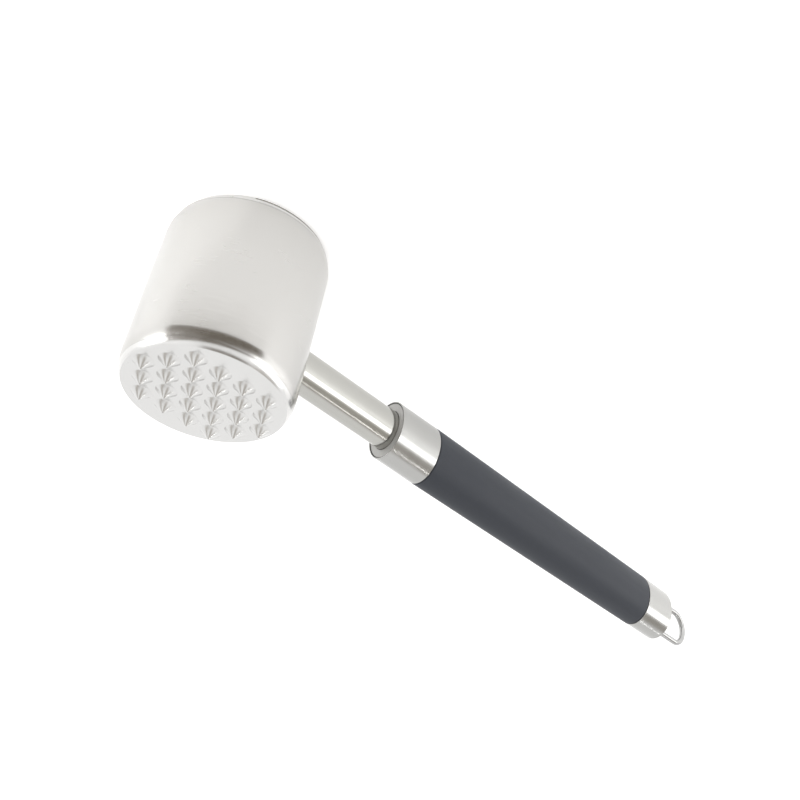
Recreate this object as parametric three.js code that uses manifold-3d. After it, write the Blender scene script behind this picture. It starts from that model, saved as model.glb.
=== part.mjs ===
// Meat mallet with a weighted steel head, an oval steel neck, a soft oval grip and a hanging loop.
// Millimetres, +Z up. The origin is the centre of the flat striking face, which the mallet stands on.
// The spiked face is on top and the handle runs out along +X.

import * as THREE from 'three';
import { mergeVertices } from 'three/addons/utils/BufferGeometryUtils.js';
import Module from 'manifold-3d';

const wasm = await Module();
wasm.setup();

// ---- Driving dimensions -------------------------------------------------------------------------

const fitGap = 0.3;

const headRadius = 27.5;
const headLength = 59.5;
const rollHeight = 3.6;
const rollInset = 0.63;
const shellWall = 1.6;

const lipHeight = 2.6;
const lipInset = 1.8;
const lipBulge = 0.1;
const faceThickness = 3.0;
const spigotDepth = 4.4;
const spigotWall = 2.0;

const spikeRows = 5;
const spikesInLongestRow = 6;
const spikePitch = 8.73;
const spikeTurn = 2.4;
const spikeHeight = 3.1;
const spikeCrown = 0.22;
const spikeRootStep = 0.02;
const spikeRootDepth = 0.6;
const spikeRootRadius = 3.45;
const spikeTipRadius = 0.35;
const spikeFlare = 0.3;

const handleRise = 0.4;
const ovalRatio = 1.369;

const neckHalfWidth = 5.8;
const neckHalfHeight = 7.9;
const neckWall = 1.2;
const neckSocketDepth = 15.2;
const neckTail = 8.0;
const plugLength = 15.0;
const plugBevel = 0.4;

const studRadius = 3.0;
const studReachIntoCore = 20.0;
const studReachPastPlug = 2.0;
const studBevel = 0.6;

const ferruleStart = 72.6;
const ferruleLength = 19.1;
const ferruleFrontHalfWidth = 8.57;
const ferruleRearHalfWidth = 8.71;
const ferruleRim = 0.4;
const ferruleRimRound = 0.15;
const ferruleSeam = 0.35;
const plateRecess = 0.3;
const plateThickness = 1.6;
const plateBevel = 0.2;
const sealThickness = 1.3;
const sealClearance = 0.12;

const gripLength = 133.7;
const gripEndHalfWidth = 8.35;
const gripCoreSideWall = 0.65;
const gripCoreTopWall = 1.6;
const gripEdgeRound = 0.5;

const tieRadius = 2.5;
const tieBevel = 0.5;
const tieSetBack = 1.0;
const tieProud = 0.4;
const washerRadius = 5.5;
const washerThickness = 1.0;
const nutAcrossFlats = 8.0;
const nutThickness = 3.6;

const capLength = 16.8;
const capEndHalfWidth = 8.3;
const capEndThickness = 1.5;
const capCorner = 0.35;
const capOverlap = 6.0;
const anchorThickness = 2.8;
const anchorBevel = 0.3;

const loopWireRadius = 1.25;
const loopHalfSpacing = 6.95;
const loopStraight = 14.6;
const loopNose = 6.8;
const legClearance = 0.2;
const legSetBack = 0.2;

const headSegments = 80;
const ovalSegments = 48;
const smallSegments = 20;
const spikeSegments = 10;
const wireSides = 10;

/** How far a cutting shape runs past the surface that it opens. */
const cutOverrun = 5.0;

// ---- Dependent positions ------------------------------------------------------------------------

const handleHeight = headLength / 2 + handleRise;
const shellInnerRadius = headRadius - shellWall;
const spigotRadius = shellInnerRadius - fitGap;
const spigotInnerRadius = spigotRadius - spigotWall;
const spigotEnd = lipHeight + spigotDepth;
const faceEdgeRadius = headRadius - lipInset;
const ferruleEnd = ferruleStart + ferruleLength;
const gripStart = ferruleEnd + fitGap;
const gripEnd = gripStart + gripLength;
const capStart = gripEnd + fitGap;
const capEnd = capStart + capLength;
const gripCoreHalfWidth = neckHalfWidth + fitGap + gripCoreSideWall;
const gripCoreHalfHeight = neckHalfHeight + fitGap + gripCoreTopWall;
const gripInnerHalfWidth = gripCoreHalfWidth + fitGap;
const gripInnerHalfHeight = gripCoreHalfHeight + fitGap;
const neckStart = headRadius - neckSocketDepth;
const neckEnd = ferruleEnd + neckTail;
const plateStart = ferruleStart + plateRecess;
const plateEnd = plateStart + plateThickness;
const sealStart = plateEnd + sealClearance;
const sealEnd = sealStart + sealThickness;
const mouthEnd = sealEnd + fitGap;
const coreNose = mouthEnd + fitGap;
const coreTail = capStart + capOverlap;
const washerStart = coreTail + fitGap;
const nutStart = washerStart + washerThickness + fitGap;
const tieEnd = nutStart + nutThickness + tieProud;
const anchorEnd = capEnd - capEndThickness - fitGap;
const anchorStart = anchorEnd - anchorThickness;

// ---- Shape helpers ------------------------------------------------------------------------------

/** Closed surface from rings of points: each ring has the same count, or a single pole point. */
function skinRings(rings, closed) {
  const positions = [];
  const starts = [];
  for (const ring of rings) {
    starts.push(positions.length / 3);
    for (const point of ring) {
      positions.push(point.x, point.y, point.z);
    }
  }
  const indices = [];
  const spans = closed ? rings.length : rings.length - 1;
  for (let k = 0; k < spans; k += 1) {
    const next = (k + 1) % rings.length;
    const count = Math.max(rings[k].length, rings[next].length);
    for (let i = 0; i < count; i += 1) {
      const j = (i + 1) % count;
      const a = starts[k] + (rings[k].length > 1 ? i : 0);
      const b = starts[k] + (rings[k].length > 1 ? j : 0);
      const c = starts[next] + (rings[next].length > 1 ? j : 0);
      const d = starts[next] + (rings[next].length > 1 ? i : 0);
      if (a !== b) {
        indices.push(a, b, c);
      }
      if (c !== d) {
        indices.push(a, c, d);
      }
    }
  }
  const geometry = new THREE.BufferGeometry();
  geometry.setAttribute('position', new THREE.Float32BufferAttribute(positions, 3));
  geometry.setIndex(indices);
  return outward(geometry);
}

/** Turn the triangles round when the enclosed volume comes out negative. */
function outward(geometry) {
  const p = geometry.getAttribute('position');
  const index = geometry.getIndex();
  const a = new THREE.Vector3();
  const b = new THREE.Vector3();
  const c = new THREE.Vector3();
  let volume = 0;
  for (let i = 0; i < index.count; i += 3) {
    a.fromBufferAttribute(p, index.getX(i));
    b.fromBufferAttribute(p, index.getX(i + 1));
    c.fromBufferAttribute(p, index.getX(i + 2));
    volume += a.dot(b.cross(c));
  }
  if (volume < 0) {
    const flipped = [];
    for (let i = 0; i < index.count; i += 3) {
      flipped.push(index.getX(i), index.getX(i + 2), index.getX(i + 1));
    }
    geometry.setIndex(flipped);
  }
  return geometry;
}

/** Turned piece about the vertical axis from [radius, z] points; the ends lie on the axis or it closes. */
function turned(profile, segments, closed = false) {
  const rings = profile.map(([radius, z]) => {
    if (radius === 0) {
      return [new THREE.Vector3(0, 0, z)];
    }
    const ring = [];
    for (let i = 0; i < segments; i += 1) {
      const angle = (2 * Math.PI * i) / segments;
      ring.push(new THREE.Vector3(radius * Math.cos(angle), radius * Math.sin(angle), z));
    }
    return ring;
  });
  return skinRings(rings, closed);
}

/** Oval piece about the handle axis from [x, halfWidth, halfHeight] points. */
function oval(profile, segments, closed = false) {
  const rings = profile.map(([x, halfWidth, halfHeight]) => {
    if (halfWidth === 0) {
      return [new THREE.Vector3(x, 0, handleHeight)];
    }
    const ring = [];
    for (let i = 0; i < segments; i += 1) {
      const angle = (2 * Math.PI * i) / segments;
      const y = halfWidth * Math.cos(angle);
      const z = handleHeight + halfHeight * Math.sin(angle);
      ring.push(new THREE.Vector3(x, y, z));
    }
    return ring;
  });
  return skinRings(rings, closed);
}

/** Oval bar between two stations, solid. */
function ovalBar(x0, x1, halfWidth, halfHeight, segments = ovalSegments, bevel = 0) {
  const profile = [[x0, 0, 0]];
  if (bevel > 0) {
    profile.push([x0, halfWidth - bevel, halfHeight - bevel]);
    profile.push([x0 + bevel, halfWidth, halfHeight]);
    profile.push([x1 - bevel, halfWidth, halfHeight]);
    profile.push([x1, halfWidth - bevel, halfHeight - bevel]);
  } else {
    profile.push([x0, halfWidth, halfHeight]);
    profile.push([x1, halfWidth, halfHeight]);
  }
  profile.push([x1, 0, 0]);
  return oval(profile, segments);
}

/** Round bar along the handle axis. */
function roundBar(x0, x1, radius, bevel = 0, segments = smallSegments) {
  return ovalBar(x0, x1, radius, radius, segments, bevel);
}

/** Oval washer or sleeve of one section between two stations. */
function ovalRing(x0, x1, outer, inner, segments = ovalSegments) {
  const profile = [
    [x0, outer[0], outer[1]],
    [x1, outer[0], outer[1]],
    [x1, inner[0], inner[1]],
    [x0, inner[0], inner[1]],
  ];
  return oval(profile, segments, true);
}

function toManifold(geometry) {
  const clean = geometry.clone();
  clean.deleteAttribute('normal');
  clean.deleteAttribute('uv');
  const merged = mergeVertices(clean, 1e-5);
  return new wasm.Manifold(new wasm.Mesh({
    numProp: 3,
    vertProperties: new Float32Array(merged.getAttribute('position').array),
    triVerts: new Uint32Array(merged.getIndex().array),
  }));
}

function fromManifold(solid) {
  const mesh = solid.getMesh();
  const geometry = new THREE.BufferGeometry();
  geometry.setAttribute('position', new THREE.BufferAttribute(new Float32Array(mesh.vertProperties), 3));
  geometry.setIndex(new THREE.BufferAttribute(new Uint32Array(mesh.triVerts), 1));
  return geometry;
}

function cut(body, tools) {
  let solid = toManifold(body);
  for (const tool of tools) {
    solid = solid.subtract(toManifold(tool));
  }
  return fromManifold(solid);
}

function join(body, additions) {
  let solid = toManifold(body);
  for (const addition of additions) {
    solid = solid.add(toManifold(addition));
  }
  return fromManifold(solid);
}

// ---- The group ----------------------------------------------------------------------------------

const group = new THREE.Group();
group.name = 'meat_mallet';

const finishes = {
  polished_steel: { color: 0xdad9d5, metalness: 0.95, roughness: 0.22 },
  inner_steel: { color: 0x9a9b9c, metalness: 0.9, roughness: 0.45 },
  cast_core: { color: 0x4c4a48, metalness: 0.6, roughness: 0.7 },
  zinc_fastener: { color: 0xb8bcc0, metalness: 0.85, roughness: 0.4 },
  soft_grip: { color: 0x47494c, metalness: 0.0, roughness: 0.65 },
  grip_core_plastic: { color: 0x2b2c2e, metalness: 0.0, roughness: 0.5 },
  seal_rubber: { color: 0x1d1d1f, metalness: 0.0, roughness: 0.8 },
};

function addPiece(name, geometry, finish) {
  const material = new THREE.MeshStandardMaterial(finishes[finish]);
  material.name = finish;
  const mesh = new THREE.Mesh(geometry, material);
  mesh.name = name;
  geometry.computeVertexNormals();
  group.add(mesh);
}

// ---- Head ---------------------------------------------------------------------------------------

/** Cup-shaped face, flat side down at z = 0, with a rounded lip and a spigot for the shell. */
function faceProfile() {
  const profile = [[0, 0], [faceEdgeRadius, 0]];
  const lipSteps = 5;
  const lipRise = lipHeight - fitGap;
  const lipRadius = headRadius - rollInset;
  for (let k = 1; k <= lipSteps; k += 1) {
    const t = k / lipSteps;
    const radius = faceEdgeRadius + (lipRadius - faceEdgeRadius) * t;
    const bulge = lipBulge * 4 * t * (1 - t);
    profile.push([radius + bulge, lipRise * t - bulge / 2]);
  }
  profile.push([spigotRadius, lipRise]);
  profile.push([spigotRadius, spigotEnd]);
  profile.push([spigotInnerRadius, spigotEnd]);
  profile.push([spigotInnerRadius, faceThickness]);
  profile.push([0, faceThickness]);
  return profile;
}

/** Spike whose side sweeps up from a wide root to a small rounded point. */
function spikeAt(x, y) {
  const profile = [
    [0, -spikeRootDepth],
    [spikeRootRadius, -spikeRootDepth],
  ];
  const sweepSteps = 4;
  const sweepHeight = spikeHeight - spikeCrown - spikeRootStep;
  for (let k = 0; k <= sweepSteps; k += 1) {
    const t = k / sweepSteps;
    const radius = spikeRootRadius + (spikeTipRadius - spikeRootRadius) * t;
    const rise = (1 - spikeFlare) * t + spikeFlare * t * t;
    profile.push([radius, spikeRootStep + sweepHeight * rise]);
  }
  profile.push([0, spikeHeight]);
  const spike = turned(profile, spikeSegments);
  spike.translate(x, y, headLength);
  return spike;
}

/** Rows of spikes on a triangular grid, longest row in the middle. */
function spikeField() {
  const spikes = [];
  const turn = THREE.MathUtils.degToRad(spikeTurn);
  const rowSpacing = (spikePitch * Math.sqrt(3)) / 2;
  const middleRow = (spikeRows - 1) / 2;
  for (let row = 0; row < spikeRows; row += 1) {
    const offset = row - middleRow;
    const count = spikesInLongestRow - Math.abs(offset);
    for (let k = 0; k < count; k += 1) {
      const along = (k - (count - 1) / 2) * spikePitch;
      const across = offset * rowSpacing;
      const x = along * Math.cos(turn) - across * Math.sin(turn);
      const y = along * Math.sin(turn) + across * Math.cos(turn);
      spikes.push(spikeAt(x, y));
    }
  }
  return spikes;
}

/** Outer wall from its straight part out to one end, where it rolls inwards. */
function rolledEnd() {
  const points = [];
  const rollSteps = 4;
  for (let k = 0; k <= rollSteps; k += 1) {
    const t = k / rollSteps;
    points.push([headRadius - rollInset * t * t, lipHeight + rollHeight * (1 - t)]);
  }
  return points;
}

const lowerRoll = rolledEnd().reverse();
const upperRoll = rolledEnd().map(([radius, z]) => [radius, headLength - z]);
const shell = turned([
  ...lowerRoll,
  ...upperRoll,
  [shellInnerRadius, headLength - lipHeight],
  [shellInnerRadius, lipHeight],
], headSegments, true);
const passageHalfWidth = neckHalfWidth + fitGap;
const passageHalfHeight = neckHalfHeight + fitGap;
const passageEnd = headRadius + cutOverrun;
const neckPassage = ovalBar(neckStart, passageEnd, passageHalfWidth, passageHalfHeight);
addPiece('head_shell', cut(shell, [neckPassage]), 'polished_steel');

addPiece('flat_face', turned(faceProfile(), headSegments), 'polished_steel');

const spikedBase = turned(faceProfile(), headSegments);
spikedBase.rotateX(Math.PI);
spikedBase.translate(0, 0, headLength);
addPiece('spiked_face', join(spikedBase, spikeField()), 'polished_steel');

const coreRadius = shellInnerRadius - fitGap;
const coreNeckRadius = spigotInnerRadius - fitGap;
const coreStep = spigotEnd + fitGap;
const coreFoot = faceThickness + fitGap;
const core = turned([
  [0, coreFoot],
  [coreNeckRadius, coreFoot],
  [coreNeckRadius, coreStep],
  [coreRadius, coreStep],
  [coreRadius, headLength - coreStep],
  [coreNeckRadius, headLength - coreStep],
  [coreNeckRadius, headLength - coreFoot],
  [0, headLength - coreFoot],
], headSegments);
const socket = ovalBar(neckStart - fitGap, passageEnd, passageHalfWidth, passageHalfHeight);
const studStart = neckStart - studReachIntoCore;
const studBore = roundBar(studStart - fitGap, neckStart + cutOverrun, studRadius + fitGap);
addPiece('head_core', cut(core, [socket, studBore]), 'cast_core');

// ---- Neck ---------------------------------------------------------------------------------------

const tubeInnerHalfWidth = neckHalfWidth - neckWall;
const tubeInnerHalfHeight = neckHalfHeight - neckWall;
addPiece('neck_tube', ovalRing(
  neckStart,
  neckEnd,
  [neckHalfWidth, neckHalfHeight],
  [tubeInnerHalfWidth, tubeInnerHalfHeight],
), 'polished_steel');

const plugHalfWidth = tubeInnerHalfWidth - fitGap;
const plugHalfHeight = tubeInnerHalfHeight - fitGap;
const frontPlugEnd = neckStart + plugLength;
const frontPlug = ovalBar(
  neckStart + fitGap,
  frontPlugEnd,
  plugHalfWidth,
  plugHalfHeight,
  ovalSegments,
  plugBevel,
);
const studHole = roundBar(neckStart - cutOverrun, frontPlugEnd + cutOverrun, studRadius + fitGap);
addPiece('neck_front_plug', cut(frontPlug, [studHole]), 'inner_steel');

const studEnd = frontPlugEnd + studReachPastPlug;
addPiece('neck_stud', roundBar(studStart, studEnd, studRadius, studBevel), 'zinc_fastener');

const rearPlugStart = neckEnd - plugLength;
const rearPlug = ovalBar(rearPlugStart, neckEnd, plugHalfWidth, plugHalfHeight, ovalSegments, plugBevel);
const tieHole = roundBar(rearPlugStart - cutOverrun, neckEnd + cutOverrun, tieRadius + fitGap);
addPiece('neck_rear_plug', cut(rearPlug, [tieHole]), 'inner_steel');

// ---- Ferrule ------------------------------------------------------------------------------------

const ferruleFrontHalfHeight = ferruleFrontHalfWidth * ovalRatio;
const ferruleRearHalfHeight = ferruleRearHalfWidth * ovalRatio;
const mouthHalfWidth = ferruleFrontHalfWidth - ferruleRim;
const mouthHalfHeight = ferruleFrontHalfHeight - ferruleRim;
addPiece('ferrule', oval([
  [ferruleStart, mouthHalfWidth, mouthHalfHeight],
  [ferruleStart, ferruleFrontHalfWidth - ferruleRimRound, ferruleFrontHalfHeight - ferruleRimRound],
  [ferruleStart + ferruleRimRound, ferruleFrontHalfWidth, ferruleFrontHalfHeight],
  [ferruleEnd, ferruleRearHalfWidth, ferruleRearHalfHeight],
  [ferruleEnd, gripInnerHalfWidth, gripInnerHalfHeight],
  [mouthEnd, gripInnerHalfWidth, gripInnerHalfHeight],
  [mouthEnd, mouthHalfWidth, mouthHalfHeight],
], ovalSegments, true), 'polished_steel');

const plateHalfWidth = mouthHalfWidth - ferruleSeam;
const plateHalfHeight = mouthHalfHeight - ferruleSeam;
const plateHole = [neckHalfWidth + fitGap, neckHalfHeight + fitGap];
addPiece('ferrule_plate', oval([
  [plateStart, plateHole[0], plateHole[1]],
  [plateStart, plateHalfWidth - plateBevel, plateHalfHeight - plateBevel],
  [plateStart + plateBevel, plateHalfWidth, plateHalfHeight],
  [plateEnd, plateHalfWidth, plateHalfHeight],
  [plateEnd, plateHole[0], plateHole[1]],
], ovalSegments, true), 'polished_steel');

const sealHole = [neckHalfWidth + sealClearance, neckHalfHeight + sealClearance];
addPiece('ferrule_seal', ovalRing(
  sealStart,
  sealEnd,
  [plateHalfWidth, plateHalfHeight],
  sealHole,
), 'seal_rubber');

// ---- Grip ---------------------------------------------------------------------------------------

const pocketEnd = neckEnd + fitGap;
const tieBore = tieRadius + fitGap;
addPiece('grip_core', oval([
  [coreNose, neckHalfWidth + fitGap, neckHalfHeight + fitGap],
  [coreNose, gripCoreHalfWidth, gripCoreHalfHeight],
  [coreTail, gripCoreHalfWidth, gripCoreHalfHeight],
  [coreTail, tieBore, tieBore],
  [pocketEnd, tieBore, tieBore],
  [pocketEnd, neckHalfWidth + fitGap, neckHalfHeight + fitGap],
], ovalSegments, true), 'grip_core_plastic');

const gripEndHalfHeight = gripEndHalfWidth * ovalRatio;
const sleeve = [];
const thinnestSleeve = gripEndHalfWidth - gripInnerHalfWidth;
const sleeveRound = Math.min(gripEdgeRound, thinnestSleeve / 2);
const edgeSteps = 3;
for (let k = 0; k <= edgeSteps; k += 1) {
  const angle = (Math.PI / 2) * (k / edgeSteps);
  const drop = sleeveRound * (1 - Math.sin(angle));
  const x = gripStart + sleeveRound * (1 - Math.cos(angle));
  sleeve.push([x, ferruleRearHalfWidth - drop, ferruleRearHalfHeight - drop]);
}
for (let k = edgeSteps; k >= 0; k -= 1) {
  const angle = (Math.PI / 2) * (k / edgeSteps);
  const drop = sleeveRound * (1 - Math.sin(angle));
  const x = gripEnd - sleeveRound * (1 - Math.cos(angle));
  sleeve.push([x, gripEndHalfWidth - drop, gripEndHalfHeight - drop]);
}
sleeve.push([gripEnd, gripInnerHalfWidth, gripInnerHalfHeight]);
sleeve.push([gripStart, gripInnerHalfWidth, gripInnerHalfHeight]);
addPiece('grip_sleeve', oval(sleeve, ovalSegments, true), 'soft_grip');

addPiece('tie_rod', roundBar(rearPlugStart + tieSetBack, tieEnd, tieRadius, tieBevel), 'zinc_fastener');

addPiece('tie_washer', ovalRing(
  washerStart,
  washerStart + washerThickness,
  [washerRadius, washerRadius],
  [tieBore, tieBore],
  smallSegments,
), 'zinc_fastener');

const hexagon = new THREE.Shape();
const nutCorner = nutAcrossFlats / Math.sqrt(3);
for (let side = 0; side < 6; side += 1) {
  const angle = (Math.PI / 3) * side;
  const x = nutCorner * Math.cos(angle);
  const y = nutCorner * Math.sin(angle);
  if (side === 0) {
    hexagon.moveTo(x, y);
  } else {
    hexagon.lineTo(x, y);
  }
}
hexagon.closePath();
const nutHole = new THREE.Path();
nutHole.absarc(0, 0, tieBore, 0, 2 * Math.PI, true);
hexagon.holes.push(nutHole);
const nut = new THREE.ExtrudeGeometry(hexagon, {
  depth: nutThickness,
  bevelEnabled: false,
  curveSegments: smallSegments,
});
nut.rotateY(Math.PI / 2);
nut.translate(nutStart, 0, handleHeight);
addPiece('tie_nut', fromManifold(toManifold(nut)), 'zinc_fastener');

// ---- End cap and hanging loop -------------------------------------------------------------------

const capEndHalfHeight = capEndHalfWidth * ovalRatio;
const capOuter = [
  [capStart, gripInnerHalfWidth, gripInnerHalfHeight],
  [capStart, gripEndHalfWidth, gripEndHalfHeight],
];
const cornerSteps = 4;
for (let k = 0; k <= cornerSteps; k += 1) {
  const angle = (Math.PI / 2) * (k / cornerSteps);
  const drop = capCorner * (1 - Math.cos(angle));
  const x = capEnd - capCorner * (1 - Math.sin(angle));
  capOuter.push([x, capEndHalfWidth - drop, capEndHalfHeight - drop]);
}
capOuter.push([capEnd, 0, 0]);
const capInner = [
  [capEnd - capEndThickness, 0, 0],
  [capEnd - capEndThickness, gripInnerHalfWidth, gripInnerHalfHeight],
];
const capBody = oval([...capInner, ...capOuter], ovalSegments);

/** Straight cutter for one leg of the loop, right through the cap's end and the anchor. */
function legBore(side) {
  const radius = loopWireRadius + legClearance;
  const start = anchorStart - cutOverrun;
  const end = capEnd + cutOverrun;
  const bore = new THREE.CylinderGeometry(radius, radius, end - start, smallSegments);
  bore.rotateZ(Math.PI / 2);
  bore.translate((start + end) / 2, 0, handleHeight + side * loopHalfSpacing);
  return bore;
}

const legBores = [-1, 1].map(legBore);
addPiece('end_cap', cut(capBody, legBores), 'polished_steel');

const anchorBody = ovalBar(
  anchorStart,
  anchorEnd,
  gripInnerHalfWidth - fitGap,
  gripInnerHalfHeight - fitGap,
  ovalSegments,
  anchorBevel,
);
addPiece('loop_anchor', cut(anchorBody, legBores), 'inner_steel');

/** Round wire bent in the upright plane of the handle axis. */
function bentWire(path, radius, sides) {
  const rings = [[path[0].clone()]];
  for (let i = 0; i < path.length; i += 1) {
    const before = path[Math.max(i - 1, 0)];
    const after = path[Math.min(i + 1, path.length - 1)];
    const along = after.clone().sub(before).normalize();
    const across = new THREE.Vector3(0, 1, 0);
    const inPlane = new THREE.Vector3().crossVectors(along, across);
    const ring = [];
    for (let k = 0; k < sides; k += 1) {
      const angle = (2 * Math.PI * k) / sides;
      const point = path[i].clone();
      point.addScaledVector(across, radius * Math.cos(angle));
      point.addScaledVector(inPlane, radius * Math.sin(angle));
      ring.push(point);
    }
    rings.push(ring);
  }
  rings.push([path[path.length - 1].clone()]);
  return skinRings(rings, false);
}

const legStart = anchorStart + legSetBack;
const straightEnd = capEnd + loopStraight;
const bendSteps = 16;
const loopPath = [new THREE.Vector3(legStart, 0, handleHeight - loopHalfSpacing)];
for (let k = 0; k <= bendSteps; k += 1) {
  const angle = -Math.PI / 2 + (Math.PI * k) / bendSteps;
  const x = straightEnd + loopNose * Math.cos(angle);
  const z = handleHeight + loopHalfSpacing * Math.sin(angle);
  loopPath.push(new THREE.Vector3(x, 0, z));
}
loopPath.push(new THREE.Vector3(legStart, 0, handleHeight + loopHalfSpacing));
addPiece('hanging_loop', bentWire(loopPath, loopWireRadius, wireSides), 'polished_steel');

export default group;
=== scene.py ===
"""Looks for the meat mallet: finer meshes, procedural materials, light and camera."""

import math
import bmesh
import bpy
from mathutils import Matrix, Vector


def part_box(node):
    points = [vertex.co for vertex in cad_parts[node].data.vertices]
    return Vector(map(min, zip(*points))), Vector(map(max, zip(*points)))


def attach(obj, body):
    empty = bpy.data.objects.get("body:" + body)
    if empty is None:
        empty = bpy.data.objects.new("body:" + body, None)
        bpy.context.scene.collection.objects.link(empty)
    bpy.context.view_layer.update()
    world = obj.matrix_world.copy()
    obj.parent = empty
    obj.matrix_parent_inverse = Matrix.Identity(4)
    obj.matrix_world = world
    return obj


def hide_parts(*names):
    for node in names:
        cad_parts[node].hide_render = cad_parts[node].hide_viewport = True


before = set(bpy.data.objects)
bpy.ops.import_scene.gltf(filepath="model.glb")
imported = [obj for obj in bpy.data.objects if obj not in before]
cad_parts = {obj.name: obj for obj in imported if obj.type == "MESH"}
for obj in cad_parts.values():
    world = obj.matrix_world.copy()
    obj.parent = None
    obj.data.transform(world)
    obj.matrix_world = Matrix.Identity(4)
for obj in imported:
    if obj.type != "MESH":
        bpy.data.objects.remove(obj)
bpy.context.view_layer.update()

MM = 0.001
RING = 192
TURN = 2.0 * math.pi


# ---- Places and sizes taken from the CAD frame ----------------------------------------------------

shell_low, shell_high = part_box("head_shell")
face_low, face_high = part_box("flat_face")
spiked_low, spiked_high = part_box("spiked_face")
neck_low, neck_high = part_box("neck_tube")
ferrule_low, ferrule_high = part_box("ferrule")
plate_low, plate_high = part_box("ferrule_plate")
seal_low, seal_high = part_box("ferrule_seal")
grip_low, grip_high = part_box("grip_sleeve")
grip_core_low, grip_core_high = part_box("grip_core")
cap_low, cap_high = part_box("end_cap")
loop_low, loop_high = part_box("hanging_loop")

HEAD_RADIUS = shell_high.x
AXIS_HEIGHT = (neck_low.z + neck_high.z) / 2
SPIKE_HEIGHT = 3.1 * MM
HEAD_LENGTH = spiked_high.z - SPIKE_HEIGHT

# Sizes of the CAD part that its boxes don't give, and the finer edges that only the looks have.
FIT_GAP = 0.3 * MM
LEG_GAP = 0.2 * MM
SHOWN_GAP = 0.12 * MM
EDGE_BREAK = 0.12 * MM
FINE_EDGE = 0.08 * MM
OVAL_RATIO = 1.369

SHELL_WALL = 1.6 * MM
ROLL_HEIGHT = 3.6 * MM
ROLL_INSET = 0.63 * MM
NECK_HOLE_REACH = 4 * MM

LIP_INSET = 1.8 * MM
LIP_RISE = 2.5 * MM
LIP_START = 0.03 * MM
LIP_BULGE = 0.12 * MM
SPIGOT_RADIUS = HEAD_RADIUS - 1.9 * MM
SPIGOT_WALL = 2.0 * MM
FACE_THICKNESS = 3.0 * MM

LONGEST_ROW = 6
SPIKE_PITCH = 8.73 * MM
SPIKE_TURN = math.radians(2.4)
SPIKE_ROOT = 3.45 * MM
SPIKE_TIP = 0.35 * MM
SPIKE_CROWN = 0.22 * MM
SPIKE_FLARE = 0.3
SPIKE_SUNK = 0.8 * MM
SPIKE_FOOT = 0.008 * MM

NECK_WALL = 1.2 * MM
FERRULE_FRONT_WIDE = 8.57 * MM
RIM = 0.40 * MM
RIM_ROUND = 0.16 * MM
PLATE_REACH = 0.06 * MM

GRIP_END_WIDE = 8.35 * MM
GRIP_ROUND = 0.45 * MM
CAP_END_WIDE = 8.30 * MM
CAP_ROUND = 0.35 * MM
CAP_WALL = 1.5 * MM
LEG_HOLE_REACH = 8 * MM
LOOP_NOSE = 6.8 * MM

CREASE_ANGLE = math.radians(32.0)


# ---- Mesh helpers ---------------------------------------------------------------------------------

def new_piece(name, rings, closed):
    """One object skinned over rings of points; a ring of one point is a pole."""
    mesh = bpy.data.meshes.new(name)
    bm = bmesh.new()
    made = [[bm.verts.new(p) for p in ring] for ring in rings]
    spans = len(made) if closed else len(made) - 1
    for k in range(spans):
        a, b = made[k], made[(k + 1) % len(made)]
        count = max(len(a), len(b))
        for i in range(count):
            j = (i + 1) % count
            if len(a) == 1:
                corners = [a[0], b[j], b[i]]
            elif len(b) == 1:
                corners = [a[i], a[j], b[0]]
            else:
                corners = [a[i], a[j], b[j], b[i]]
            bm.faces.new(corners)
    bmesh.ops.recalc_face_normals(bm, faces=bm.faces)
    bm.to_mesh(mesh)
    bm.free()
    piece = bpy.data.objects.new(name, mesh)
    bpy.context.scene.collection.objects.link(piece)
    return piece


def turned_rings(profile, segments=RING, centre=(0.0, 0.0)):
    """Rings about a vertical axis from (radius, z) points."""
    rings = []
    for radius, z in profile:
        if radius == 0.0:
            rings.append([Vector((centre[0], centre[1], z))])
            continue
        ring = []
        for i in range(segments):
            angle = TURN * i / segments
            x = centre[0] + radius * math.cos(angle)
            y = centre[1] + radius * math.sin(angle)
            ring.append(Vector((x, y, z)))
        rings.append(ring)
    return rings


def oval_rings(profile, segments=RING, height=AXIS_HEIGHT):
    """Rings about the handle's axis, or one at another height, from (x, half width, half height) points."""
    rings = []
    for x, wide, tall in profile:
        if wide == 0.0:
            rings.append([Vector((x, 0.0, height))])
            continue
        ring = []
        for i in range(segments):
            angle = TURN * i / segments
            y = wide * math.cos(angle)
            z = height + tall * math.sin(angle)
            ring.append(Vector((x, y, z)))
        rings.append(ring)
    return rings


def divide(profile, longest):
    """Extra points along the long spans of an open profile."""
    points = [profile[0]]
    for before, after in zip(profile, profile[1:]):
        length = math.dist(before, after)
        steps = max(1, math.ceil(length / longest))
        for s in range(1, steps + 1):
            t = s / steps
            points.append(tuple(a + (b - a) * t for a, b in zip(before, after)))
    return points


def quarter_round(size, steps):
    """Setbacks from both sides of a rounded corner, from all on the first to all on the second."""
    setbacks = []
    for k in range(steps + 1):
        angle = math.radians(90.0 * k / steps)
        setbacks.append((size * (1.0 - math.sin(angle)), size * (1.0 - math.cos(angle))))
    return setbacks


def combine(piece, tool, operation):
    """Boolean with a helper object that is then removed."""
    modifier = piece.modifiers.new("combine", "BOOLEAN")
    modifier.operation = operation
    modifier.solver = "EXACT"
    modifier.object = tool
    bpy.context.view_layer.update()
    evaluated = piece.evaluated_get(bpy.context.evaluated_depsgraph_get())
    result = bpy.data.meshes.new_from_object(evaluated)
    piece.modifiers.remove(modifier)
    piece.data = result
    bpy.data.objects.remove(tool)


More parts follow.
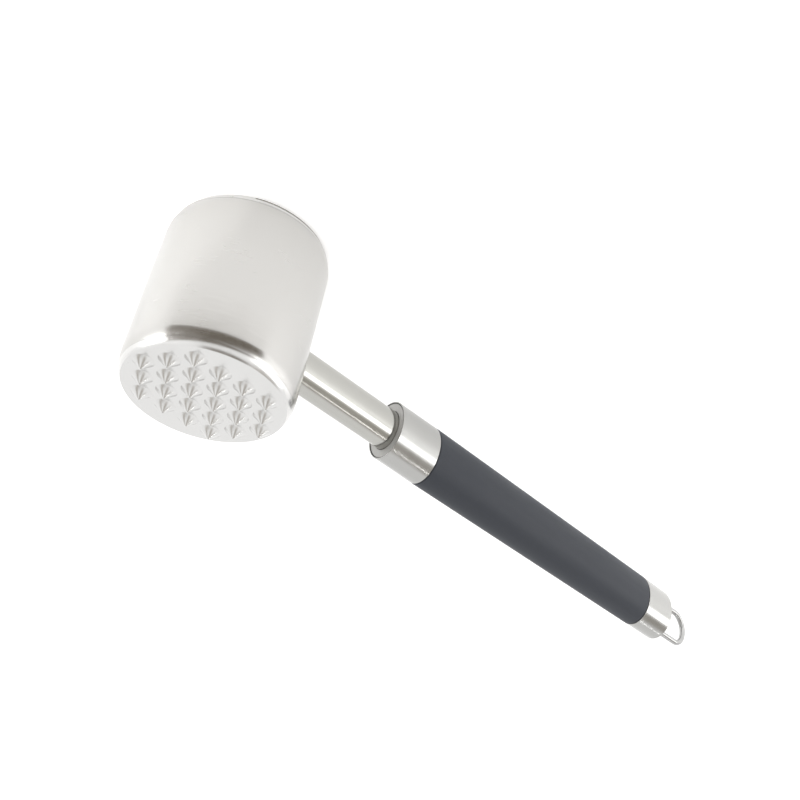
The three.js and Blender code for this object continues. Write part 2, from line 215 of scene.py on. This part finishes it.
def finish_piece(piece, node, material):
    """Smooth shading with sharp creases and the material; the CAD node is hidden and the piece hangs under
    the root body.
    """
    mesh = piece.data
    mesh.shade_smooth()
    mesh.set_sharp_from_angle(angle=CREASE_ANGLE)
    weighted = piece.modifiers.new("weighted_normals", "WEIGHTED_NORMAL")
    weighted.keep_sharp = True
    mesh.materials.clear()
    mesh.materials.append(material)
    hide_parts(node)
    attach(piece, "root")


def add_oval(node, outline, material):
    """Closed oval piece about the handle's axis, finished in place of its CAD node, which is hidden."""
    finish_piece(new_piece(node + "_look", oval_rings(outline), True), node, material)


# ---- Materials ------------------------------------------------------------------------------------

# The colour sockets of a Mix node, which share their names with its number sockets.
FIRST_COLOUR = 6
SECOND_COLOUR = 7
MIXED_COLOUR = 2


class Nodes:
    """Short way to place and join shader nodes."""

    def __init__(self, name):
        self.material = bpy.data.materials.new(name)
        self.material.use_nodes = True
        self.tree = self.material.node_tree
        self.shader = self.tree.nodes["Principled BSDF"]

    def add(self, kind, **values):
        node = self.tree.nodes.new(kind)
        for key, value in values.items():
            setattr(node, key, value)
        return node

    def join(self, source, target):
        self.tree.links.new(source, target)

    def place(self, scale=(1.0, 1.0, 1.0)):
        """Object position, stretched, so grain can run along an axis."""
        coords = self.add("ShaderNodeTexCoord")
        mapping = self.add("ShaderNodeMapping")
        mapping.inputs["Scale"].default_value = scale
        self.join(coords.outputs["Object"], mapping.inputs["Vector"])
        return mapping.outputs["Vector"]

    def noise(self, vector, scale, detail=4.0, roughness=0.55):
        noise = self.add("ShaderNodeTexNoise")
        noise.inputs["Scale"].default_value = scale
        noise.inputs["Detail"].default_value = detail
        noise.inputs["Roughness"].default_value = roughness
        self.join(vector, noise.inputs["Vector"])
        return noise.outputs["Fac"]

    def ranged(self, value, low, high, start=0.0, end=1.0):
        node = self.add("ShaderNodeMapRange")
        node.inputs["From Min"].default_value = start
        node.inputs["From Max"].default_value = end
        node.inputs["To Min"].default_value = low
        node.inputs["To Max"].default_value = high
        self.join(value, node.inputs["Value"])
        return node.outputs["Result"]

    def blend(self, value, first, second):
        mix = self.add("ShaderNodeMix", data_type="RGBA")
        self.join(value, mix.inputs["Factor"])
        mix.inputs[FIRST_COLOUR].default_value = (*first, 1.0)
        mix.inputs[SECOND_COLOUR].default_value = (*second, 1.0)
        return mix.outputs[MIXED_COLOUR]

    def total(self, first, second, operation="ADD"):
        node = self.add("ShaderNodeMath", operation=operation)
        self.join(first, node.inputs[0])
        if isinstance(second, float):
            node.inputs[1].default_value = second
        else:
            self.join(second, node.inputs[1])
        return node.outputs[0]

    def bump(self, height, distance, strength=1.0):
        node = self.add("ShaderNodeBump")
        node.inputs["Strength"].default_value = strength
        node.inputs["Distance"].default_value = distance
        self.join(height, node.inputs["Height"])
        self.join(node.outputs["Normal"], self.shader.inputs["Normal"])


def steel(name, tint, rough, grain_scale, grain_depth, metallic=1.0, stain=0.03):
    """Polished stainless steel with brushed grain, faint smears and uneven gloss."""
    n = Nodes(name)
    grain = n.noise(n.place(grain_scale), 1.0, 3.0, 0.6)
    smear = n.noise(n.place(), 90.0, 5.0, 0.6)
    speck = n.noise(n.place(), 900.0, 2.0, 0.5)
    darker = tuple(c * (1.0 - stain) for c in tint)
    lighter = tuple(min(1.0, c * (1.0 + stain)) for c in tint)
    n.join(n.blend(smear, darker, lighter), n.shader.inputs["Base Color"])
    gloss = n.total(n.ranged(smear, rough[0], rough[1], 0.3, 0.7), n.ranged(grain, -0.03, 0.03, 0.3, 0.7))
    n.join(gloss, n.shader.inputs["Roughness"])
    n.shader.inputs["Metallic"].default_value = metallic
    relief = n.total(grain, n.total(speck, 0.3, "MULTIPLY"))
    n.bump(relief, grain_depth, 0.35)
    return n.material


def soft_touch(name):
    """Charcoal soft-touch rubber with a fine moulded grain and faint rub marks."""
    n = Nodes(name)
    plain = n.place()
    patch = n.noise(plain, 45.0, 4.0, 0.6)
    fine = n.noise(plain, 2600.0, 2.0, 0.5)
    rub = n.noise(n.place((40.0, 400.0, 400.0)), 1.0, 3.0, 0.6)
    n.join(n.blend(patch, (0.0268, 0.0300, 0.0375), (0.0345, 0.0386, 0.0480)), n.shader.inputs["Base Color"])
    gloss = n.total(n.ranged(patch, 0.50, 0.58, 0.3, 0.7), n.ranged(rub, -0.03, 0.03, 0.3, 0.7))
    n.join(gloss, n.shader.inputs["Roughness"])
    n.shader.inputs["Specular IOR Level"].default_value = 0.30
    n.shader.inputs["Sheen Weight"].default_value = 0.03
    n.shader.inputs["Sheen Roughness"].default_value = 0.5
    n.shader.inputs["Sheen Tint"].default_value = (0.75, 0.8, 0.9, 1.0)
    n.bump(fine, 0.00006, 0.5)
    return n.material


def plastic(name, first, second, rough, grain, depth):
    """Moulded plastic or rubber with a slight texture."""
    n = Nodes(name)
    plain = n.place()
    patch = n.noise(plain, 120.0, 4.0, 0.6)
    n.join(n.blend(patch, first, second), n.shader.inputs["Base Color"])
    n.join(n.ranged(patch, rough[0], rough[1], 0.3, 0.7), n.shader.inputs["Roughness"])
    n.bump(n.noise(plain, grain, 3.0, 0.6), depth, 0.5)
    return n.material


def rough_cast(name):
    """Grey cast iron with a sandy skin and rust-brown patches."""
    n = Nodes(name)
    plain = n.place()
    patch = n.noise(plain, 60.0, 6.0, 0.65)
    sand = n.noise(plain, 1500.0, 4.0, 0.7)
    n.join(n.blend(patch, (0.10, 0.095, 0.09), (0.20, 0.17, 0.14)), n.shader.inputs["Base Color"])
    n.join(n.ranged(patch, 0.55, 0.85, 0.3, 0.7), n.shader.inputs["Roughness"])
    n.shader.inputs["Metallic"].default_value = 0.7
    n.bump(sand, 0.0002, 0.6)
    return n.material


head_steel = steel("head_satin_steel", (0.57, 0.562, 0.545), (0.20, 0.27), (120.0, 120.0, 2500.0), 0.00001)
face_steel = steel("face_satin_steel", (0.675, 0.67, 0.66), (0.20, 0.26), (500.0, 500.0, 500.0), 0.000002)
neck_steel = steel("neck_polished_steel", (0.47, 0.466, 0.44), (0.14, 0.19), (40.0, 1800.0, 1800.0), 0.000006)
ferrule_steel = steel(
    "ferrule_polished_steel", (0.44, 0.438, 0.425), (0.17, 0.23), (2200.0, 60.0, 60.0), 0.000008
)
plate_steel = steel(
    "plate_blasted_steel", (0.45, 0.446, 0.432), (0.40, 0.55), (900.0, 900.0, 900.0), 0.00004,
    metallic=0.5, stain=0.16,
)
wire_steel = steel("wire_polished_steel", (0.42, 0.42, 0.415), (0.12, 0.17), (60.0, 1500.0, 1500.0), 0.000005)
inner_steel = steel("inner_turned_steel", (0.50, 0.50, 0.50), (0.3, 0.42), (2500.0, 80.0, 80.0), 0.00003)
zinc_steel = steel("zinc_plated_steel", (0.58, 0.60, 0.62), (0.25, 0.4), (2500.0, 200.0, 200.0), 0.00003)
grip_rubber = soft_touch("grip_soft_touch")
core_plastic = plastic(
    "grip_core_plastic", (0.018, 0.018, 0.019), (0.028, 0.028, 0.03), (0.4, 0.55), 900.0, 0.00004
)
seal_rubber = plastic(
    "seal_rubber", (0.010, 0.010, 0.010), (0.018, 0.018, 0.018), (0.6, 0.8), 1400.0, 0.00004
)
cast_iron = rough_cast("head_cast_iron")


# ---- Head -----------------------------------------------------------------------------------------

def face_profile():
    """Face cap from its centre out over the rounded lip and back inside, flat side at z = 0."""
    lip_rise = face_low.z + LIP_RISE
    edge = HEAD_RADIUS - LIP_INSET
    rim = HEAD_RADIUS - ROLL_INSET
    profile = [(0.0, 0.0)]
    profile += [(edge * k / 6, 0.0) for k in range(1, 6)]
    profile += [(edge - EDGE_BREAK, 0.0), (edge, LIP_START)]
    steps = 14
    for k in range(1, steps + 1):
        t = k / steps
        bulge = LIP_BULGE * 4 * t * (1.0 - t)
        radius = edge + (rim - edge) * t + bulge
        profile.append((radius, LIP_START + (lip_rise - LIP_START) * t - bulge / 2))
    profile.append((rim - 0.1 * MM, lip_rise + 0.04 * MM))
    spigot_end = face_high.z
    inner = SPIGOT_RADIUS - SPIGOT_WALL
    profile += [(SPIGOT_RADIUS, lip_rise + 0.04 * MM), (SPIGOT_RADIUS, spigot_end), (inner, spigot_end)]
    profile += [(inner, FACE_THICKNESS), (0.0, FACE_THICKNESS)]
    return profile


def spike_profile():
    """Spike with a flared root and a rounded point, from below the face up to the point."""
    shoulder = SPIKE_HEIGHT - SPIKE_CROWN
    profile = [(0.0, -SPIKE_SUNK), (SPIKE_ROOT, -SPIKE_SUNK)]
    steps = 14
    for k in range(steps + 1):
        t = k / steps
        rise = (1.0 - SPIKE_FLARE) * t + SPIKE_FLARE * t * t
        radius = SPIKE_ROOT + (SPIKE_TIP - SPIKE_ROOT) * t
        profile.append((radius, SPIKE_FOOT + (shoulder - SPIKE_FOOT) * rise))
    crown_steps = 4
    for k in range(1, crown_steps + 1):
        angle = math.radians(90.0 * k / crown_steps)
        radius = SPIKE_TIP * math.cos(angle)
        z = shoulder + (SPIKE_HEIGHT - shoulder) * math.sin(angle)
        profile.append((radius if k < crown_steps else 0.0, z))
    return profile


def spike_centres():
    """Five rows of spikes, six in the middle one, on a triangular grid."""
    places = []
    for row in range(-2, 3):
        count = LONGEST_ROW - abs(row)
        for k in range(count):
            along = (k - (count - 1) / 2) * SPIKE_PITCH
            across = row * SPIKE_PITCH * math.sqrt(3.0) / 2
            x = along * math.cos(SPIKE_TURN) - across * math.sin(SPIKE_TURN)
            y = along * math.sin(SPIKE_TURN) + across * math.cos(SPIKE_TURN)
            places.append((x, y))
    return places


def rolled_end():
    """Outer wall at one end: it rolls inwards to a fine seam against the face cap."""
    points = []
    steps = 12
    for k in range(steps + 1):
        t = k / steps
        points.append((HEAD_RADIUS - ROLL_INSET * t * t, ROLL_HEIGHT * (1.0 - t)))
    points.append((HEAD_RADIUS - ROLL_INSET - FINE_EDGE, -0.03 * MM))
    return points


shell_inner = HEAD_RADIUS - SHELL_WALL
lower_roll = [(radius, shell_low.z + depth) for radius, depth in rolled_end()]
upper_roll = [(radius, shell_high.z - depth) for radius, depth in rolled_end()]
shell_outline = divide(
    lower_roll[::-1] + upper_roll + [(shell_inner, shell_high.z), (shell_inner, shell_low.z)],
    3.0 * MM,
)
head_shell = new_piece("head_shell_look", turned_rings(shell_outline), True)
cut_end = HEAD_RADIUS + NECK_HOLE_REACH
neck_cut = [
    (neck_low.x, 0.0, 0.0),
    (neck_low.x, neck_high.y + FIT_GAP, neck_high.z - AXIS_HEIGHT + FIT_GAP),
    (cut_end, neck_high.y + FIT_GAP, neck_high.z - AXIS_HEIGHT + FIT_GAP),
    (cut_end, 0.0, 0.0),
]
combine(head_shell, new_piece("neck_cut", oval_rings(neck_cut, 96), False), "DIFFERENCE")
finish_piece(head_shell, "head_shell", head_steel)

flat_face = new_piece("flat_face_look", turned_rings(face_profile()), False)
finish_piece(flat_face, "flat_face", face_steel)

spiked_face = new_piece("spiked_face_look", turned_rings(face_profile()), False)
spiked_face.data.transform(Matrix.Translation((0.0, 0.0, HEAD_LENGTH)) @ Matrix.Rotation(math.pi, 4, "X"))
spike_outline = spike_profile()
teeth = bmesh.new()
for place in spike_centres():
    tooth = new_piece("tooth", turned_rings(spike_outline, 40, place), False)
    tooth.data.transform(Matrix.Translation((0.0, 0.0, HEAD_LENGTH)))
    teeth.from_mesh(tooth.data)
    bpy.data.objects.remove(tooth)
teeth_mesh = bpy.data.meshes.new("teeth")
teeth.to_mesh(teeth_mesh)
teeth.free()
teeth_piece = bpy.data.objects.new("teeth", teeth_mesh)
bpy.context.scene.collection.objects.link(teeth_piece)
combine(spiked_face, teeth_piece, "UNION")
finish_piece(spiked_face, "spiked_face", face_steel)


# ---- Neck and ferrule -----------------------------------------------------------------------------

def half_height(low, high):
    """Half of the height of a box."""
    return (high.z - low.z) / 2


neck_wide, neck_tall = neck_high.y, half_height(neck_low, neck_high)
neck_outline = divide([
    (neck_low.x, neck_wide, neck_tall),
    (neck_high.x, neck_wide, neck_tall),
    (neck_high.x, neck_wide - NECK_WALL, neck_tall - NECK_WALL),
    (neck_low.x, neck_wide - NECK_WALL, neck_tall - NECK_WALL),
], 6.0 * MM)
add_oval("neck_tube", neck_outline, neck_steel)

front_tall = FERRULE_FRONT_WIDE * OVAL_RATIO
rear_wide, rear_tall = ferrule_high.y, half_height(ferrule_low, ferrule_high)
sleeve_wide = grip_core_high.y + FIT_GAP
sleeve_tall = half_height(grip_core_low, grip_core_high) + FIT_GAP
mouth_end = seal_high.x + FIT_GAP
mouth_wide, mouth_tall = FERRULE_FRONT_WIDE - RIM, front_tall - RIM
ferrule_outline = [
    (ferrule_low.x + FINE_EDGE, mouth_wide, mouth_tall),
    (ferrule_low.x, mouth_wide + FINE_EDGE, mouth_tall + FINE_EDGE),
]
for drop, back in quarter_round(RIM_ROUND, 6):
    ferrule_outline.append((ferrule_low.x + back, FERRULE_FRONT_WIDE - drop, front_tall - drop))
taper_steps = 5
for k in range(1, taper_steps):
    t = k / taper_steps
    x = ferrule_low.x + (ferrule_high.x - ferrule_low.x) * t
    wide = FERRULE_FRONT_WIDE + (rear_wide - FERRULE_FRONT_WIDE) * t
    tall = front_tall + (rear_tall - front_tall) * t
    ferrule_outline.append((x, wide, tall))
ferrule_outline += [
    (ferrule_high.x - EDGE_BREAK, rear_wide, rear_tall),
    (ferrule_high.x, rear_wide - EDGE_BREAK, rear_tall - EDGE_BREAK),
    (ferrule_high.x, sleeve_wide, sleeve_tall),
    (mouth_end, sleeve_wide, sleeve_tall),
    (mouth_end, mouth_wide, mouth_tall),
]
add_oval("ferrule", ferrule_outline, ferrule_steel)

plate_wide, plate_tall = plate_high.y, half_height(plate_low, plate_high)
hole_wide, hole_tall = neck_wide + SHOWN_GAP, neck_tall + SHOWN_GAP
plate_front = plate_low.x - SHOWN_GAP
plate_edges = [
    (plate_front + 0.06 * MM, 0.0, False),
    (plate_front, 0.06 * MM, False),
    (plate_front, PLATE_REACH - 0.16 * MM, True),
    (plate_front + 0.05 * MM, PLATE_REACH - 0.05 * MM, True),
    (plate_front + 0.16 * MM, PLATE_REACH, True),
    (plate_high.x, PLATE_REACH, True),
    (plate_high.x, 0.0, False),
]
plate_outline = []
for x, shift, outer in plate_edges:
    wide, tall = (plate_wide, plate_tall) if outer else (hole_wide, hole_tall)
    plate_outline.append((x, wide + shift, tall + shift))
add_oval("ferrule_plate", plate_outline, plate_steel)

seal_wide, seal_tall = seal_high.y, half_height(seal_low, seal_high)
seal_outline = [
    (seal_low.x, hole_wide + FINE_EDGE, hole_tall + FINE_EDGE),
    (seal_low.x, seal_wide - FINE_EDGE, seal_tall - FINE_EDGE),
    (seal_low.x + FINE_EDGE, seal_wide, seal_tall),
    (seal_high.x, seal_wide, seal_tall),
    (seal_high.x, hole_wide, hole_tall),
    (seal_low.x + FINE_EDGE, hole_wide, hole_tall),
]
add_oval("ferrule_seal", seal_outline, seal_rubber)


# ---- Grip -----------------------------------------------------------------------------------------

grip_start_wide, grip_start_tall = grip_high.y, half_height(grip_low, grip_high)
grip_end_tall = GRIP_END_WIDE * OVAL_RATIO
round_steps = 8
grip_outline = []
for drop, back in quarter_round(GRIP_ROUND, round_steps):
    grip_outline.append((grip_low.x + back, grip_start_wide - drop, grip_start_tall - drop))
grip_spans = 24
for k in range(1, grip_spans):
    t = k / grip_spans
    x = grip_low.x + (grip_high.x - grip_low.x) * t
    wide = grip_start_wide + (GRIP_END_WIDE - grip_start_wide) * t
    grip_outline.append((x, wide, wide * grip_start_tall / grip_start_wide))
for drop, back in reversed(quarter_round(GRIP_ROUND, round_steps)):
    grip_outline.append((grip_high.x - back, GRIP_END_WIDE - drop, grip_end_tall - drop))
grip_outline += [(grip_high.x, sleeve_wide, sleeve_tall), (grip_low.x, sleeve_wide, sleeve_tall)]
add_oval("grip_sleeve", grip_outline, grip_rubber)


# ---- End cap and hanging loop ---------------------------------------------------------------------

cap_end_tall = CAP_END_WIDE * OVAL_RATIO
cap_outline = [
    (cap_high.x - CAP_WALL, 0.0, 0.0),
    (cap_high.x - CAP_WALL, sleeve_wide, sleeve_tall),
    (cap_low.x, sleeve_wide, sleeve_tall),
    (cap_low.x, GRIP_END_WIDE - EDGE_BREAK, grip_end_tall - EDGE_BREAK),
    (cap_low.x + EDGE_BREAK, GRIP_END_WIDE, grip_end_tall),
]
for back, drop in quarter_round(CAP_ROUND, round_steps):
    cap_outline.append((cap_high.x - back, CAP_END_WIDE - drop, cap_end_tall - drop))
cap_outline += [(cap_high.x, CAP_END_WIDE * 0.5, cap_end_tall * 0.5), (cap_high.x, 0.0, 0.0)]
end_cap = new_piece("end_cap_look", oval_rings(cap_outline), False)

WIRE = loop_high.y
LOOP_HALF = half_height(loop_low, loop_high) - WIRE
leg_hole = [
    (cap_high.x - LEG_HOLE_REACH, 0.0, 0.0),
    (cap_high.x - LEG_HOLE_REACH, WIRE + LEG_GAP, WIRE + LEG_GAP),
    (cap_high.x + LEG_HOLE_REACH, WIRE + LEG_GAP, WIRE + LEG_GAP),
    (cap_high.x + LEG_HOLE_REACH, 0.0, 0.0),
]
for side in (-1.0, 1.0):
    hole_rings = oval_rings(leg_hole, 40, AXIS_HEIGHT + side * LOOP_HALF)
    combine(end_cap, new_piece("leg_cut", hole_rings, False), "DIFFERENCE")
finish_piece(end_cap, "end_cap", ferrule_steel)

straight_end = loop_high.x - WIRE - LOOP_NOSE
leg_steps = 8
leg = [loop_low.x + (straight_end - loop_low.x) * k / leg_steps for k in range(leg_steps + 1)]
path = [(x, -LOOP_HALF) for x in leg]
bend_steps = 48
for k in range(1, bend_steps):
    angle = math.radians(-90.0 + 180.0 * k / bend_steps)
    path.append((straight_end + LOOP_NOSE * math.cos(angle), LOOP_HALF * math.sin(angle)))
path += [(x, LOOP_HALF) for x in reversed(leg)]
wire_sides = 32
wire_rings = [[Vector((path[0][0], 0.0, AXIS_HEIGHT + path[0][1]))]]
for i, (x, z) in enumerate(path):
    ahead = path[min(i + 1, len(path) - 1)]
    behind = path[max(i - 1, 0)]
    along = Vector((ahead[0] - behind[0], 0.0, ahead[1] - behind[1])).normalized()
    across = Vector((0.0, 1.0, 0.0))
    in_plane = along.cross(across)
    ring = []
    for k in range(wire_sides):
        angle = TURN * k / wire_sides
        centre = Vector((x, 0.0, AXIS_HEIGHT + z))
        ring.append(centre + across * (WIRE * math.cos(angle)) + in_plane * (WIRE * math.sin(angle)))
    wire_rings.append(ring)
wire_rings.append([Vector((path[-1][0], 0.0, AXIS_HEIGHT + path[-1][1]))])
hanging_loop = new_piece("hanging_loop_look", wire_rings, False)
finish_piece(hanging_loop, "hanging_loop", wire_steel)


# ---- Carried-over CAD pieces ----------------------------------------------------------------------

carried = {
    "head_core": cast_iron,
    "neck_front_plug": inner_steel,
    "neck_rear_plug": inner_steel,
    "neck_stud": zinc_steel,
    "tie_rod": zinc_steel,
    "tie_washer": zinc_steel,
    "tie_nut": zinc_steel,
    "loop_anchor": inner_steel,
    "grip_core": core_plastic,
}
for name, material in carried.items():
    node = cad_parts[name]
    node.data.materials.clear()
    node.data.materials.append(material)


# ---- Floor, light and camera ----------------------------------------------------------------------

floor_mesh = bpy.data.meshes.new("floor")
bm = bmesh.new()
bmesh.ops.create_grid(bm, x_segments=1, y_segments=1, size=4.0)
bm.to_mesh(floor_mesh)
bm.free()
floor = bpy.data.objects.new("floor", floor_mesh)
bpy.context.scene.collection.objects.link(floor)
floor_look = Nodes("pale_floor")
floor_look.shader.inputs["Base Color"].default_value = (0.86, 0.86, 0.86, 1.0)
floor_look.shader.inputs["Roughness"].default_value = 0.9
floor_look.shader.inputs["Specular IOR Level"].default_value = 0.1
floor_look.shader.inputs["Emission Color"].default_value = (1.0, 1.0, 1.0, 1.0)
floor_look.shader.inputs["Emission Strength"].default_value = 0.35
floor_mesh.materials.append(floor_look.material)

world = bpy.data.worlds.new("studio")
bpy.context.scene.world = world
world.use_nodes = True
sky = world.node_tree
background = sky.nodes["Background"]
coords = sky.nodes.new("ShaderNodeTexCoord")


def sky_node(kind, operation, *inputs):
    """One maths node of the sky; inputs are sockets, numbers or vectors."""
    node = sky.nodes.new(kind)
    node.operation = operation
    for socket, value in zip(node.inputs, inputs):
        if isinstance(value, bpy.types.NodeSocket):
            sky.links.new(value, socket)
        else:
            socket.default_value = value
    return node.outputs["Value"] if operation == "DOT_PRODUCT" else node.outputs[0]


def sky_step(value, start, end):
    """0 before start and 1 past end, with a smooth rise."""
    step = sky.nodes.new("ShaderNodeMapRange")
    step.interpolation_type = "SMOOTHSTEP"
    step.inputs["From Min"].default_value = start
    step.inputs["From Max"].default_value = end
    sky.links.new(value, step.inputs["Value"])
    return step.outputs["Result"]


direction = coords.outputs["Generated"]
level_direction = sky_node("ShaderNodeVectorMath", "MULTIPLY", direction, (1.0, 1.0, 0.0))
level_direction = sky_node("ShaderNodeVectorMath", "NORMALIZE", level_direction)
sky_height = sky_node("ShaderNodeVectorMath", "DOT_PRODUCT", direction, (0.0, 0.0, 1.0))


def sky_window(azimuth, half_width, low, high, soft):
    """1 inside a window of the sky about an azimuth and between two elevations, all in degrees."""
    towards = (math.cos(math.radians(azimuth)), math.sin(math.radians(azimuth)), 0.0)
    across = sky_node("ShaderNodeVectorMath", "DOT_PRODUCT", level_direction, towards)
    inner, outer = math.radians(half_width - soft), math.radians(half_width + soft)
    sideways = sky_step(across, math.cos(outer), math.cos(inner))
    lower = math.sin(math.radians(low - soft / 2)), math.sin(math.radians(low + soft / 2))
    upper = math.sin(math.radians(high + soft / 2)), math.sin(math.radians(high - soft / 2))
    above, below = sky_step(sky_height, *lower), sky_step(sky_height, *upper)
    upright = sky_node("ShaderNodeMath", "MULTIPLY", above, below)
    return sky_node("ShaderNodeMath", "MULTIPLY", sideways, upright)


def sky_mix(value, before, colour):
    """The sky so far, with a colour laid over it where the value is 1."""
    mix = sky.nodes.new("ShaderNodeMix")
    mix.data_type = "RGBA"
    sky.links.new(value, mix.inputs["Factor"])
    if isinstance(before, tuple):
        mix.inputs[FIRST_COLOUR].default_value = (*before, 1.0)
    else:
        sky.links.new(before, mix.inputs[FIRST_COLOUR])
    mix.inputs[SECOND_COLOUR].default_value = (*colour, 1.0)
    return mix.outputs[MIXED_COLOUR]


SKY = (1.15, 1.15, 1.15)
ROOM = (0.17, 0.145, 0.115)
DIM_ROOM = (0.58, 0.55, 0.51)
ZENITH = (0.85, 0.85, 0.85)
# Azimuth, half width, low and high elevation and softness of each window, in degrees, and its colour.
SKY_WINDOWS = [
    ((0.0, 200.0, 62.0, 120.0, 10.0), ZENITH),
    ((44.0, 22.0, 16.0, 50.0, 9.0), DIM_ROOM),
    ((104.0, 30.0, 40.0, 78.0, 6.0), DIM_ROOM),
    ((106.0, 33.0, 26.0, 39.0, 6.0), ROOM),
    ((205.0, 15.0, 27.0, 78.0, 6.0), DIM_ROOM),
]
shade = SKY
for window, colour in SKY_WINDOWS:
    shade = sky_mix(sky_window(*window), shade, colour)
seen_directly = sky.nodes.new("ShaderNodeLightPath").outputs["Is Camera Ray"]
shade = sky_mix(seen_directly, shade, SKY)
sky.links.new(shade, background.inputs["Color"])
background.inputs["Strength"].default_value = 1.0


def softbox(name, place, aim, size, power, glossy=True, spread=180.0):
    """Area lamp at a place, aimed at a point; a lamp that isn't glossy doesn't show in reflections."""
    light = bpy.data.lights.new(name, "AREA")
    light.shape = "RECTANGLE"
    light.size, light.size_y = size
    light.energy = power
    light.spread = math.radians(spread)
    lamp = bpy.data.objects.new(name, light)
    bpy.context.scene.collection.objects.link(lamp)
    lamp.location = place
    lamp.rotation_euler = (Vector(aim) - Vector(place)).to_track_quat("-Z", "Y").to_euler()
    lamp.visible_glossy = glossy
    lamp.visible_camera = False


softbox("low_front_softbox", (0.62, 0.72, 0.10), (0.12, 0.0, 0.03), (0.9, 0.26), 1.7)
softbox("left_softbox", (-0.80, -0.05, 0.10), (0.0, 0.0, 0.03), (0.9, 0.20), 3.0)
softbox("strip_light", (0.60, 0.46, 0.66), (0.11, 0.0, 0.03), (1.1, 0.010), 0.35)
softbox("overhead_fill", (0.1, 0.0, 1.6), (0.1, 0.0, 0.0), (1.6, 1.6), 3.0, glossy=False)
softbox(
    "handle_floor_glow", (0.20, 0.18, 0.26), (0.19, 0.15, 0.0), (0.36, 0.06), 0.085,
    glossy=False, spread=55.0,
)
softbox(
    "head_floor_glow", (-0.175, 0.07, 0.25), (-0.062, -0.028, 0.0), (0.09, 0.012), 0.03,
    glossy=False, spread=12.0,
)

# Black card material with a faint warm glow, shown only in reflections; at the head's foot it is a painted
# contact shadow.
flag_look = Nodes("dark_flag")
flag_look.shader.inputs["Base Color"].default_value = (0.0, 0.0, 0.0, 1.0)
flag_look.shader.inputs["Specular IOR Level"].default_value = 0.0
flag_look.shader.inputs["Emission Color"].default_value = (1.0, 0.86, 0.70, 1.0)
flag_look.shader.inputs["Emission Strength"].default_value = 0.20


def dark_flag(name, angles, inner, outer):
    """Dark card about the head's axis that only shows in reflections, used for the rim's studio card and for
    the painted contact shadow at the head's foot; edges are (radius, height).
    """
    edges = []
    for edge in (inner, outer):
        for angle in angles:
            radius, height = edge(angle)
            turn = math.radians(angle)
            edges.append((radius * math.cos(turn), radius * math.sin(turn), height))
    count = len(angles)
    strips = [(i, i + 1, count + i + 1, count + i) for i in range(count - 1)]
    card_mesh = bpy.data.meshes.new(name)
    card_mesh.from_pydata(edges, [], strips)
    card_mesh.materials.append(flag_look.material)
    card = bpy.data.objects.new(name, card_mesh)
    bpy.context.scene.collection.objects.link(card)
    for ray in ("camera", "diffuse", "transmission", "volume_scatter", "shadow"):
        setattr(card, "visible_" + ray, False)


RIM_FLAG_RADIUS = 115 * MM
# Size of the ring of painted contact shadow on the floor at the flat face's lip.
CONTACT_SHADOW_INNER = 25.0 * MM
CONTACT_SHADOW_OUTER = 26.2 * MM
CONTACT_SHADOW_HEIGHT = 0.2 * MM


def rim_flag_top(angle):
    """Top edge of the rim's card, which rises away from the handle."""
    return RIM_FLAG_RADIUS, (40 + 45 * ((angle - 70) / 110) ** 0.6) * MM


dark_flag("rim_flag", range(70, 181, 3), lambda angle: (RIM_FLAG_RADIUS, 0.0), rim_flag_top)
# Painted contact shadow: a thin dark ring on the floor under the flat face's lip, seen only in the lip's
# reflection.
dark_flag(
    "painted_contact_shadow",
    range(50, 126, 3),
    lambda angle: (CONTACT_SHADOW_INNER, CONTACT_SHADOW_HEIGHT),
    lambda angle: (CONTACT_SHADOW_OUTER, CONTACT_SHADOW_HEIGHT),
)

CAMERA_PLACE = (-0.13275, 0.25022, 0.22771)
CAMERA_FORWARD = Vector((0.53681621, -0.64318216, -0.54602661))
CAMERA_UP = Vector((-0.49029202, 0.28887217, -0.8222935))
CAMERA_LENS = 48.28
camera_data = bpy.data.cameras.new("camera")
camera_data.sensor_width = 36.0
camera_data.lens = CAMERA_LENS
camera_data.clip_start = 0.01
camera = bpy.data.objects.new("camera", camera_data)
bpy.context.scene.collection.objects.link(camera)
forward = CAMERA_FORWARD.normalized()
up = CAMERA_UP.normalized()
right = forward.cross(up).normalized()
up = right.cross(forward)
facing = Matrix((right, up, -forward)).transposed().to_4x4()
camera.matrix_world = Matrix.Translation(CAMERA_PLACE) @ facing
bpy.context.scene.camera = camera
bpy.context.scene.view_settings.view_transform = "Standard"
bpy.context.scene.view_settings.look = "None"
bpy.context.scene.view_settings.exposure = 0.0
